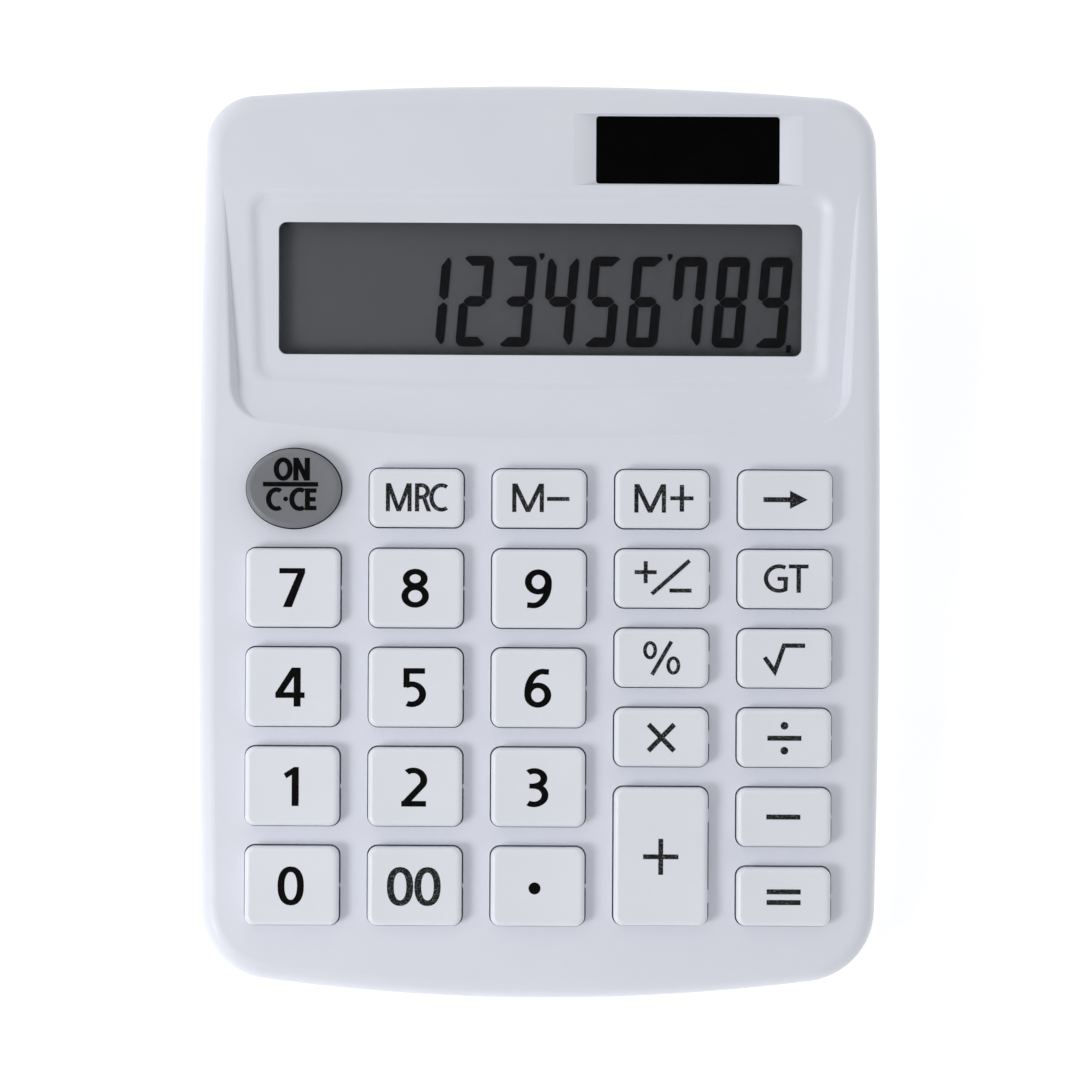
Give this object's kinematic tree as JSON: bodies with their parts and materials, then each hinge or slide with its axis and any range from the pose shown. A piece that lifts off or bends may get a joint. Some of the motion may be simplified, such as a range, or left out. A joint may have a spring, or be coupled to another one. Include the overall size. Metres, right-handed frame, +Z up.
{
  "type": "desk calculator",
  "caption": "Sloping desk calculator with a dished display surround, a solar window, sprung keys over a dome mat and a sliding battery cover.",
  "frame": {"origin": "on the table under the middle of the case, at the bottom of the feet", "axes": "+X to the user's right, +Y from the user towards the back of the calculator, +Z up"},
  "size_m": [0.103, 0.1364, 0.0311],
  "materials": {
    "case_plastic": "fine moulded texture",
    "key_plastic": "satin",
    "grey_key_plastic": "satin",
    "legend_ink": "printed",
    "clear_window": "polished",
    "lcd_panel": "polariser film",
    "lcd_segments": "dark segments",
    "reflector": "matte film",
    "inner_plastic": "plain moulded",
    "solar_window": "polished dark",
    "solar_cell": "coated glass",
    "foot_rubber": "matte",
    "silicone": "matte",
    "carbon_rubber": "matte",
    "board_laminate": "laminate",
    "black_resin": "resin",
    "film": "film",
    "steel": "plated",
    "cell_steel": "bright",
    "wire_cover": "soft"
  },
  "bodies": {
    "root": {"top_shell": "case_plastic", "bottom_shell": "case_plastic", "feet": "foot_rubber", "case_screws": "steel", "rubber_keypad": "silicone", "contact_pills": "carbon_rubber", "main_board": "board_laminate", "chip_blob": "black_resin", "board_parts": "black_resin", "board_screws": "steel", "lcd_ribbon": "film", "button_cell": "cell_steel", "battery_wires": "wire_cover", "solar_wires": "wire_cover", "solar_window": "solar_window", "solar_cell": "solar_cell", "solar_retainer": "inner_plastic", "lcd_window": "clear_window", "lcd_front_glass": "lcd_panel", "lcd_back_glass": "lcd_panel", "lcd_reflector": "reflector", "lcd_holder": "inner_plastic", "battery_contact_negative": "steel", "battery_contact_positive": "steel"},
    "battery_cover": {"battery_cover": "case_plastic"},
    "key_on_clear": {"key_on_clear": "grey_key_plastic"},
    "key_mrc": {"key_mrc": "key_plastic"},
    "key_m_minus": {"key_m_minus": "key_plastic"},
    "key_m_plus": {"key_m_plus": "key_plastic"},
    "key_back_step": {"key_back_step": "key_plastic"},
    "key_7": {"key_7": "key_plastic"},
    "key_8": {"key_8": "key_plastic"},
    "key_9": {"key_9": "key_plastic"},
    "key_sign": {"key_sign": "key_plastic"},
    "key_grand_total": {"key_grand_total": "key_plastic"},
    "key_4": {"key_4": "key_plastic"},
    "key_5": {"key_5": "key_plastic"},
    "key_6": {"key_6": "key_plastic"},
    "key_percent": {"key_percent": "key_plastic"},
    "key_square_root": {"key_square_root": "key_plastic"},
    "key_1": {"key_1": "key_plastic"},
    "key_2": {"key_2": "key_plastic"},
    "key_3": {"key_3": "key_plastic"},
    "key_multiply": {"key_multiply": "key_plastic"},
    "key_divide": {"key_divide": "key_plastic"},
    "key_0": {"key_0": "key_plastic"},
    "key_00": {"key_00": "key_plastic"},
    "key_point": {"key_point": "key_plastic"},
    "key_plus": {"key_plus": "key_plastic"},
    "key_minus": {"key_minus": "key_plastic"},
    "key_equals": {"key_equals": "key_plastic"}
  },
  "joints": [
    {"name": "press_on_clear", "type": "slide", "parent": "root", "child": "key_on_clear", "axis": [0, 0.1392, -0.9903], "range_m": [0, 0.0015], "stiffness_N_per_m": 200, "springref_m": -0.001, "deforming": ["rubber_keypad", "contact_pills"]},
    {"name": "press_mrc", "type": "slide", "parent": "root", "child": "key_mrc", "axis": [0, 0.1392, -0.9903], "range_m": [0, 0.0015], "stiffness_N_per_m": 200, "springref_m": -0.001, "deforming": ["rubber_keypad", "contact_pills"]},
    {"name": "press_m_minus", "type": "slide", "parent": "root", "child": "key_m_minus", "axis": [0, 0.1392, -0.9903], "range_m": [0, 0.0015], "stiffness_N_per_m": 200, "springref_m": -0.001, "deforming": ["rubber_keypad", "contact_pills"]},
    {"name": "press_m_plus", "type": "slide", "parent": "root", "child": "key_m_plus", "axis": [0, 0.1392, -0.9903], "range_m": [0, 0.0015], "stiffness_N_per_m": 200, "springref_m": -0.001, "deforming": ["rubber_keypad", "contact_pills"]},
    {"name": "press_back_step", "type": "slide", "parent": "root", "child": "key_back_step", "axis": [0, 0.1392, -0.9903], "range_m": [0, 0.0015], "stiffness_N_per_m": 200, "springref_m": -0.001, "deforming": ["rubber_keypad", "contact_pills"]},
    {"name": "press_7", "type": "slide", "parent": "root", "child": "key_7", "axis": [0, 0.1392, -0.9903], "range_m": [0, 0.0015], "stiffness_N_per_m": 200, "springref_m": -0.001, "deforming": ["rubber_keypad", "contact_pills"]},
    {"name": "press_8", "type": "slide", "parent": "root", "child": "key_8", "axis": [0, 0.1392, -0.9903], "range_m": [0, 0.0015], "stiffness_N_per_m": 200, "springref_m": -0.001, "deforming": ["rubber_keypad", "contact_pills"]},
    {"name": "press_9", "type": "slide", "parent": "root", "child": "key_9", "axis": [0, 0.1392, -0.9903], "range_m": [0, 0.0015], "stiffness_N_per_m": 200, "springref_m": -0.001, "deforming": ["rubber_keypad", "contact_pills"]},
    {"name": "press_sign", "type": "slide", "parent": "root", "child": "key_sign", "axis": [0, 0.1392, -0.9903], "range_m": [0, 0.0015], "stiffness_N_per_m": 200, "springref_m": -0.001, "deforming": ["rubber_keypad", "contact_pills"]},
    {"name": "press_grand_total", "type": "slide", "parent": "root", "child": "key_grand_total", "axis": [0, 0.1392, -0.9903], "range_m": [0, 0.0015], "stiffness_N_per_m": 200, "springref_m": -0.001, "deforming": ["rubber_keypad", "contact_pills"]},
    {"name": "press_4", "type": "slide", "parent": "root", "child": "key_4", "axis": [0, 0.1392, -0.9903], "range_m": [0, 0.0015], "stiffness_N_per_m": 200, "springref_m": -0.001, "deforming": ["rubber_keypad", "contact_pills"]},
    {"name": "press_5", "type": "slide", "parent": "root", "child": "key_5", "axis": [0, 0.1392, -0.9903], "range_m": [0, 0.0015], "stiffness_N_per_m": 200, "springref_m": -0.001, "deforming": ["rubber_keypad", "contact_pills"]},
    {"name": "press_6", "type": "slide", "parent": "root", "child": "key_6", "axis": [0, 0.1392, -0.9903], "range_m": [0, 0.0015], "stiffness_N_per_m": 200, "springref_m": -0.001, "deforming": ["rubber_keypad", "contact_pills"]},
    {"name": "press_percent", "type": "slide", "parent": "root", "child": "key_percent", "axis": [0, 0.1392, -0.9903], "range_m": [0, 0.0015], "stiffness_N_per_m": 200, "springref_m": -0.001, "deforming": ["rubber_keypad", "contact_pills"]},
    {"name": "press_square_root", "type": "slide", "parent": "root", "child": "key_square_root", "axis": [0, 0.1392, -0.9903], "range_m": [0, 0.0015], "stiffness_N_per_m": 200, "springref_m": -0.001, "deforming": ["rubber_keypad", "contact_pills"]},
    {"name": "press_1", "type": "slide", "parent": "root", "child": "key_1", "axis": [0, 0.1392, -0.9903], "range_m": [0, 0.0015], "stiffness_N_per_m": 200, "springref_m": -0.001, "deforming": ["rubber_keypad", "contact_pills"]},
    {"name": "press_2", "type": "slide", "parent": "root", "child": "key_2", "axis": [0, 0.1392, -0.9903], "range_m": [0, 0.0015], "stiffness_N_per_m": 200, "springref_m": -0.001, "deforming": ["rubber_keypad", "contact_pills"]},
    {"name": "press_3", "type": "slide", "parent": "root", "child": "key_3", "axis": [0, 0.1392, -0.9903], "range_m": [0, 0.0015], "stiffness_N_per_m": 200, "springref_m": -0.001, "deforming": ["rubber_keypad", "contact_pills"]},
    {"name": "press_multiply", "type": "slide", "parent": "root", "child": "key_multiply", "axis": [0, 0.1392, -0.9903], "range_m": [0, 0.0015], "stiffness_N_per_m": 200, "springref_m": -0.001, "deforming": ["rubber_keypad", "contact_pills"]},
    {"name": "press_divide", "type": "slide", "parent": "root", "child": "key_divide", "axis": [0, 0.1392, -0.9903], "range_m": [0, 0.0015], "stiffness_N_per_m": 200, "springref_m": -0.001, "deforming": ["rubber_keypad", "contact_pills"]},
    {"name": "press_0", "type": "slide", "parent": "root", "child": "key_0", "axis": [0, 0.1392, -0.9903], "range_m": [0, 0.0015], "stiffness_N_per_m": 200, "springref_m": -0.001, "deforming": ["rubber_keypad", "contact_pills"]},
    {"name": "press_00", "type": "slide", "parent": "root", "child": "key_00", "axis": [0, 0.1392, -0.9903], "range_m": [0, 0.0015], "stiffness_N_per_m": 200, "springref_m": -0.001, "deforming": ["rubber_keypad", "contact_pills"]},
    {"name": "press_point", "type": "slide", "parent": "root", "child": "key_point", "axis": [0, 0.1392, -0.9903], "range_m": [0, 0.0015], "stiffness_N_per_m": 200, "springref_m": -0.001, "deforming": ["rubber_keypad", "contact_pills"]},
    {"name": "press_plus", "type": "slide", "parent": "root", "child": "key_plus", "axis": [0, 0.1392, -0.9903], "range_m": [0, 0.0015], "stiffness_N_per_m": 200, "springref_m": -0.001, "deforming": ["rubber_keypad", "contact_pills"]},
    {"name": "press_minus", "type": "slide", "parent": "root", "child": "key_minus", "axis": [0, 0.1392, -0.9903], "range_m": [0, 0.0015], "stiffness_N_per_m": 200, "springref_m": -0.001, "deforming": ["rubber_keypad", "contact_pills"]},
    {"name": "press_equals", "type": "slide", "parent": "root", "child": "key_equals", "axis": [0, 0.1392, -0.9903], "range_m": [0, 0.0015], "stiffness_N_per_m": 200, "springref_m": -0.001, "deforming": ["rubber_keypad", "contact_pills"]},
    {"name": "cover_slide", "type": "slide", "parent": "root", "child": "battery_cover", "axis": [0, 1, 0], "range_m": [0, 0.026]}
  ]
}
